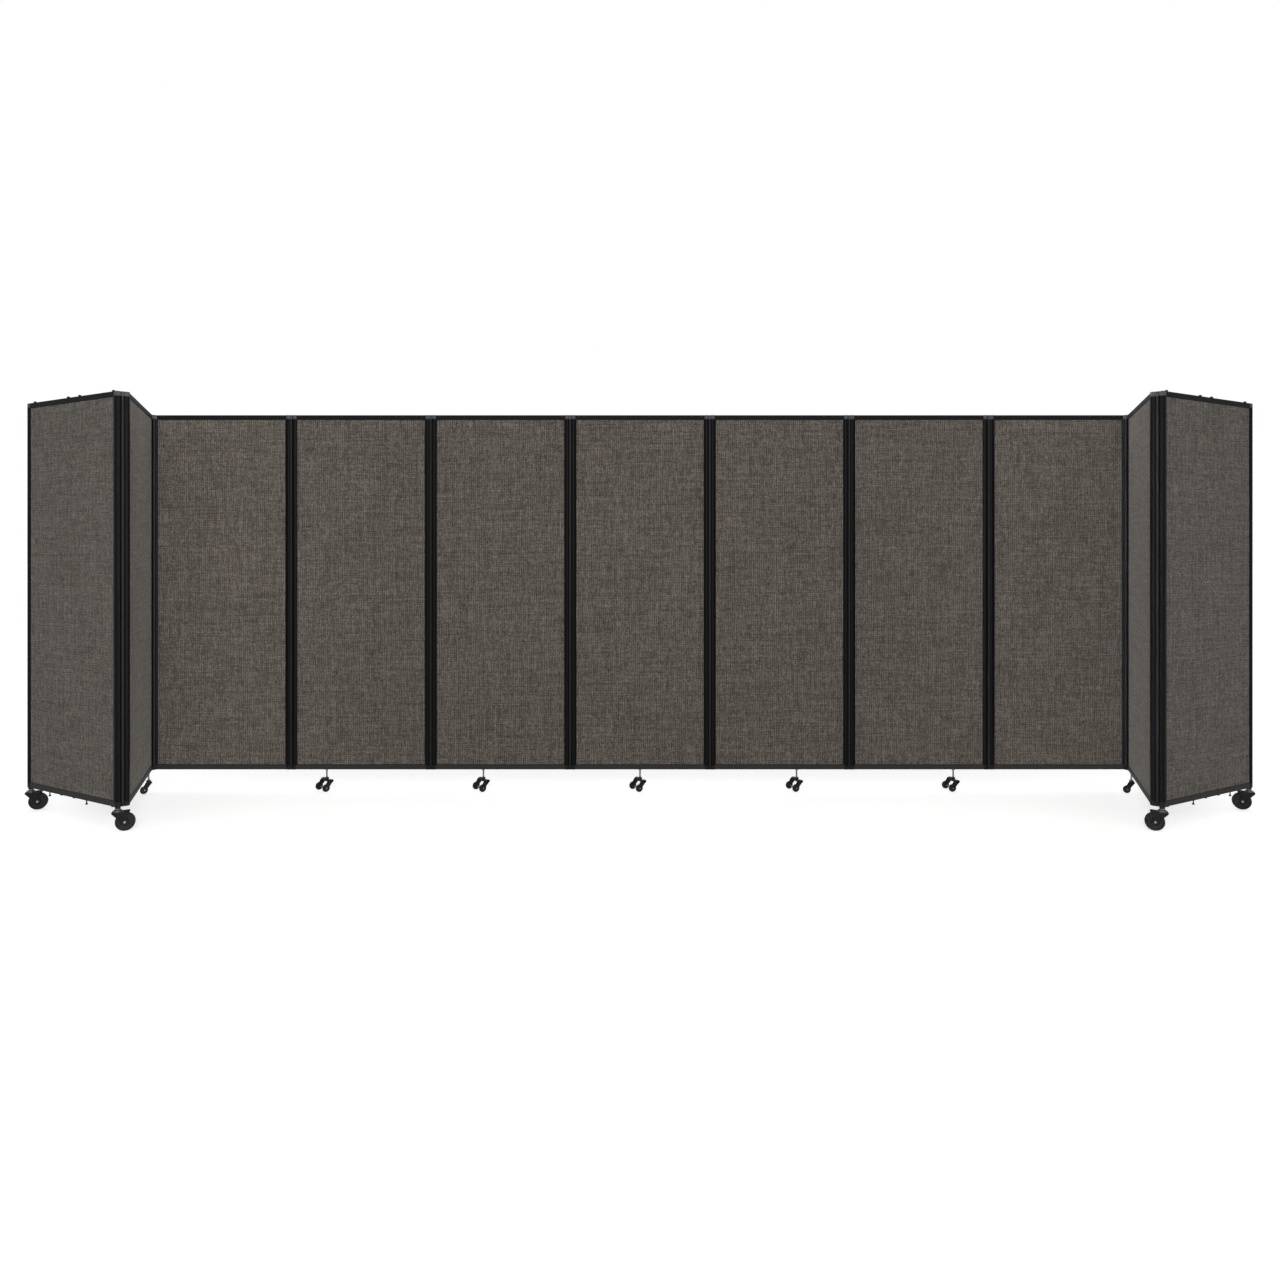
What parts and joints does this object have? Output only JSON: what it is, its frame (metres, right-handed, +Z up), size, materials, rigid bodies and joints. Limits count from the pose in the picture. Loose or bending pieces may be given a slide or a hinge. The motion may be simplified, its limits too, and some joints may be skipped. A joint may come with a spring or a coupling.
{
  "type": "accordion folding partition",
  "caption": "Free-standing accordion partition: tall fabric covered panels in black frames, joined by double pivot hinges, on braked end casters and small swivel casters.",
  "frame": {"origin": "on the floor, under the middle of panel 6 (the middle one of the straight row)", "axes": "+X to the right along the row, +Y away from the viewer, +Z up"},
  "size_m": [6.9232, 0.8969, 2.2961],
  "materials": {
    "frame": "satin black anodised",
    "fabric": "woven cloth, grey brown",
    "hinge_plastic": "grey plastic caps, dark cover strips",
    "fork": "black paint; bright ball race, stem and axle",
    "tread": "dark grey rubber on a grey hub",
    "pedal": "black plastic",
    "yoke": "black paint, bright stem",
    "small_tread": "dark grey",
    "fittings": "black plastic"
  },
  "bodies": {
    "panel_01": {"frame_01": "frame", "board_01": "fabric", "rail_fittings_01": "fittings"},
    "panel_02": {"frame_02": "frame", "board_02": "fabric"},
    "panel_03": {"frame_03": "frame", "board_03": "fabric"},
    "panel_04": {"frame_04": "frame", "board_04": "fabric"},
    "panel_05": {"frame_05": "frame", "board_05": "fabric"},
    "panel_06": {"frame_06": "frame", "board_06": "fabric"},
    "panel_07": {"frame_07": "frame", "board_07": "fabric"},
    "panel_08": {"frame_08": "frame", "board_08": "fabric"},
    "panel_09": {"frame_09": "frame", "board_09": "fabric"},
    "panel_10": {"frame_10": "frame", "board_10": "fabric"},
    "panel_11": {"frame_11": "frame", "board_11": "fabric", "rail_fittings_11": "fittings"},
    "link_01": {"hinge_link_01": "hinge_plastic"},
    "link_02": {"hinge_link_02": "hinge_plastic"},
    "link_03": {"hinge_link_03": "hinge_plastic"},
    "link_04": {"hinge_link_04": "hinge_plastic"},
    "link_05": {"hinge_link_05": "hinge_plastic"},
    "link_06": {"hinge_link_06": "hinge_plastic"},
    "link_07": {"hinge_link_07": "hinge_plastic"},
    "link_08": {"hinge_link_08": "hinge_plastic"},
    "link_09": {"hinge_link_09": "hinge_plastic"},
    "link_10": {"hinge_link_10": "hinge_plastic"},
    "end_fork_1": {"end_fork_1": "fork"},
    "end_wheel_1": {"end_wheel_1": "tread"},
    "brake_pedal_1": {"brake_pedal_1": "pedal"},
    "end_fork_2": {"end_fork_2": "fork"},
    "end_wheel_2": {"end_wheel_2": "tread"},
    "brake_pedal_2": {"brake_pedal_2": "pedal"},
    "end_fork_3": {"end_fork_3": "fork"},
    "end_wheel_3": {"end_wheel_3": "tread"},
    "brake_pedal_3": {"brake_pedal_3": "pedal"},
    "end_fork_4": {"end_fork_4": "fork"},
    "end_wheel_4": {"end_wheel_4": "tread"},
    "brake_pedal_4": {"brake_pedal_4": "pedal"},
    "caster_yoke_02": {"caster_yoke_02": "yoke"},
    "caster_wheels_02": {"caster_wheels_02": "small_tread"},
    "caster_yoke_04": {"caster_yoke_04": "yoke"},
    "caster_wheels_04": {"caster_wheels_04": "small_tread"},
    "caster_yoke_05": {"caster_yoke_05": "yoke"},
    "caster_wheels_05": {"caster_wheels_05": "small_tread"},
    "caster_yoke_06": {"caster_yoke_06": "yoke"},
    "caster_wheels_06": {"caster_wheels_06": "small_tread"},
    "caster_yoke_07": {"caster_yoke_07": "yoke"},
    "caster_wheels_07": {"caster_wheels_07": "small_tread"},
    "caster_yoke_08": {"caster_yoke_08": "yoke"},
    "caster_wheels_08": {"caster_wheels_08": "small_tread"},
    "caster_yoke_10": {"caster_yoke_10": "yoke"},
    "caster_wheels_10": {"caster_wheels_10": "small_tread"}
  },
  "joints": [
    {"name": "hinge_06_near", "type": "hinge", "parent": "panel_06", "child": "link_06", "pos_m": [0.406, 0, 1.2065], "axis": [0, 0, -1], "range_deg": [-90, 90]},
    {"name": "hinge_06_far", "type": "hinge", "parent": "link_06", "child": "panel_07", "pos_m": [0.444, 0, 1.2065], "axis": [0, 0, -1], "range_deg": [-90, 90]},
    {"name": "hinge_07_near", "type": "hinge", "parent": "panel_07", "child": "link_07", "pos_m": [1.256, 0, 1.2065], "axis": [0, 0, 1], "range_deg": [-90, 90]},
    {"name": "hinge_07_far", "type": "hinge", "parent": "link_07", "child": "panel_08", "pos_m": [1.294, 0, 1.2065], "axis": [0, 0, 1], "range_deg": [-90, 90]},
    {"name": "hinge_08_near", "type": "hinge", "parent": "panel_08", "child": "link_08", "pos_m": [2.106, 0, 1.2065], "axis": [0, 0, -1], "range_deg": [-90, 90]},
    {"name": "hinge_08_far", "type": "hinge", "parent": "link_08", "child": "panel_09", "pos_m": [2.144, 0, 1.2065], "axis": [0, 0, -1], "range_deg": [-90, 90]},
    {"name": "hinge_09_near", "type": "hinge", "parent": "panel_09", "child": "link_09", "pos_m": [2.956, 0, 1.2065], "axis": [0, 0, 1], "range_deg": [-34.5, 145.5]},
    {"name": "hinge_09_far", "type": "hinge", "parent": "link_09", "child": "panel_10", "pos_m": [2.97752, -0.03132, 1.2065], "axis": [0, 0, 1], "range_deg": [-34.5, 145.5]},
    {"name": "hinge_10_near", "type": "hinge", "parent": "panel_10", "child": "link_10", "pos_m": [2.68653, -0.78938, 1.2065], "axis": [0, 0, -1], "range_deg": [-20.25, 159.75]},
    {"name": "hinge_10_far", "type": "hinge", "parent": "link_10", "child": "panel_11", "pos_m": [2.7151, -0.81444, 1.2065], "axis": [0, 0, -1], "range_deg": [-20.25, 159.75]},
    {"name": "hinge_05_near", "type": "hinge", "parent": "panel_06", "child": "link_05", "pos_m": [-0.406, 0, 1.2065], "axis": [0, 0, -1], "range_deg": [-90, 90]},
    {"name": "hinge_05_far", "type": "hinge", "parent": "link_05", "child": "panel_05", "pos_m": [-0.444, 0, 1.2065], "axis": [0, 0, -1], "range_deg": [-90, 90]},
    {"name": "hinge_04_near", "type": "hinge", "parent": "panel_05", "child": "link_04", "pos_m": [-1.256, 0, 1.2065], "axis": [0, 0, 1], "range_deg": [-90, 90]},
    {"name": "hinge_04_far", "type": "hinge", "parent": "link_04", "child": "panel_04", "pos_m": [-1.294, 0, 1.2065], "axis": [0, 0, 1], "range_deg": [-90, 90]},
    {"name": "hinge_03_near", "type": "hinge", "parent": "panel_04", "child": "link_03", "pos_m": [-2.106, 0, 1.2065], "axis": [0, 0, -1], "range_deg": [-90, 90]},
    {"name": "hinge_03_far", "type": "hinge", "parent": "link_03", "child": "panel_03", "pos_m": [-2.144, 0, 1.2065], "axis": [0, 0, -1], "range_deg": [-90, 90]},
    {"name": "hinge_02_near", "type": "hinge", "parent": "panel_03", "child": "link_02", "pos_m": [-2.956, 0, 1.2065], "axis": [0, 0, 1], "range_deg": [-145.5, 34.5]},
    {"name": "hinge_02_far", "type": "hinge", "parent": "link_02", "child": "panel_02", "pos_m": [-2.97752, -0.03132, 1.2065], "axis": [0, 0, 1], "range_deg": [-145.5, 34.5]},
    {"name": "hinge_01_near", "type": "hinge", "parent": "panel_02", "child": "link_01", "pos_m": [-2.68653, -0.78938, 1.2065], "axis": [0, 0, -1], "range_deg": [-159.75, 20.25]},
    {"name": "hinge_01_far", "type": "hinge", "parent": "link_01", "child": "panel_01", "pos_m": [-2.7151, -0.81444, 1.2065], "axis": [0, 0, -1], "range_deg": [-159.75, 20.25]},
    {"name": "end_swivel_1", "type": "hinge", "parent": "panel_01", "child": "end_fork_1", "pos_m": [-3.4287, -0.42699, 0.127], "axis": [0, 0, 1], "continuous": true},
    {"name": "end_roll_1", "type": "hinge", "parent": "end_fork_1", "child": "end_wheel_1", "pos_m": [-3.39717, -0.41425, 0.047], "axis": [-0.3746, 0.9272, 0], "continuous": true},
    {"name": "brake_1", "type": "hinge", "parent": "end_fork_1", "child": "brake_pedal_1", "pos_m": [-3.39068, -0.41163, 0.099], "axis": [-0.3746, 0.9272, 0], "range_deg": [-15, 0]},
    {"name": "end_swivel_2", "type": "hinge", "parent": "panel_01", "child": "end_fork_2", "pos_m": [-2.7151, -0.81444, 0.127], "axis": [0, 0, 1], "continuous": true},
    {"name": "end_roll_2", "type": "hinge", "parent": "end_fork_2", "child": "end_wheel_2", "pos_m": [-2.68357, -0.8017, 0.047], "axis": [-0.3746, 0.9272, 0], "continuous": true},
    {"name": "brake_2", "type": "hinge", "parent": "end_fork_2", "child": "brake_pedal_2", "pos_m": [-2.67708, -0.79908, 0.099], "axis": [-0.3746, 0.9272, 0], "range_deg": [-15, 0]},
    {"name": "end_swivel_3", "type": "hinge", "parent": "panel_11", "child": "end_fork_3", "pos_m": [2.7151, -0.81444, 0.127], "axis": [0, 0, 1], "continuous": true},
    {"name": "end_roll_3", "type": "hinge", "parent": "end_fork_3", "child": "end_wheel_3", "pos_m": [2.68357, -0.8017, 0.047], "axis": [-0.3746, -0.9272, 0], "continuous": true},
    {"name": "brake_3", "type": "hinge", "parent": "end_fork_3", "child": "brake_pedal_3", "pos_m": [2.67708, -0.79908, 0.099], "axis": [-0.3746, -0.9272, 0], "range_deg": [-15, 0]},
    {"name": "end_swivel_4", "type": "hinge", "parent": "panel_11", "child": "end_fork_4", "pos_m": [3.4287, -0.42699, 0.127], "axis": [0, 0, 1], "continuous": true},
    {"name": "end_roll_4", "type": "hinge", "parent": "end_fork_4", "child": "end_wheel_4", "pos_m": [3.39717, -0.41425, 0.047], "axis": [-0.3746, -0.9272, 0], "continuous": true},
    {"name": "brake_4", "type": "hinge", "parent": "end_fork_4", "child": "brake_pedal_4", "pos_m": [3.39068, -0.41163, 0.099], "axis": [-0.3746, -0.9272, 0], "range_deg": [-15, 0]},
    {"name": "caster_swivel_02", "type": "hinge", "parent": "panel_02", "child": "caster_yoke_02", "pos_m": [-2.9614, -0.07333, 0.127], "axis": [0, 0, 1], "continuous": true},
    {"name": "caster_roll_02", "type": "hinge", "parent": "caster_yoke_02", "child": "caster_wheels_02", "pos_m": [-2.97603, -0.0972, 0.023], "axis": [0.8526, -0.5225, 0], "continuous": true},
    {"name": "caster_swivel_04", "type": "hinge", "parent": "panel_04", "child": "caster_yoke_04", "pos_m": [-1.9125, 0, 0.127], "axis": [0, 0, 1], "continuous": true},
    {"name": "caster_roll_04", "type": "hinge", "parent": "caster_yoke_04", "child": "caster_wheels_04", "pos_m": [-1.93087, -0.02113, 0.023], "axis": [0.7547, -0.6561, 0], "continuous": true},
    {"name": "caster_swivel_05", "type": "hinge", "parent": "panel_05", "child": "caster_yoke_05", "pos_m": [-0.95625, 0, 0.127], "axis": [0, 0, -1], "continuous": true},
    {"name": "caster_roll_05", "type": "hinge", "parent": "caster_yoke_05", "child": "caster_wheels_05", "pos_m": [-0.97786, -0.01781, 0.023], "axis": [0.6361, -0.7716, 0], "continuous": true},
    {"name": "caster_swivel_06", "type": "hinge", "parent": "panel_06", "child": "caster_yoke_06", "pos_m": [0, 0, 0.127], "axis": [0, 0, 1], "continuous": true},
    {"name": "caster_roll_06", "type": "hinge", "parent": "caster_yoke_06", "child": "caster_wheels_06", "pos_m": [-0.02425, -0.014, 0.023], "axis": [0.5, -0.866, 0], "continuous": true},
    {"name": "caster_swivel_07", "type": "hinge", "parent": "panel_07", "child": "caster_yoke_07", "pos_m": [0.95625, 0, 0.127], "axis": [0, 0, -1], "continuous": true},
    {"name": "caster_roll_07", "type": "hinge", "parent": "caster_yoke_07", "child": "caster_wheels_07", "pos_m": [0.93002, -0.00981, 0.023], "axis": [0.3502, -0.9367, 0], "continuous": true},
    {"name": "caster_swivel_08", "type": "hinge", "parent": "panel_08", "child": "caster_yoke_08", "pos_m": [1.9125, 0, 0.127], "axis": [0, 0, 1], "continuous": true},
    {"name": "caster_roll_08", "type": "hinge", "parent": "caster_yoke_08", "child": "caster_wheels_08", "pos_m": [1.88501, -0.00534, 0.023], "axis": [0.1908, -0.9816, 0], "continuous": true},
    {"name": "caster_swivel_10", "type": "hinge", "parent": "panel_10", "child": "caster_yoke_10", "pos_m": [2.9614, -0.07333, 0.127], "axis": [0, 0, 1], "continuous": true},
    {"name": "caster_roll_10", "type": "hinge", "parent": "caster_yoke_10", "child": "caster_wheels_10", "pos_m": [2.93341, -0.07406, 0.023], "axis": [0.0262, -0.9997, 0], "continuous": true}
  ]
}
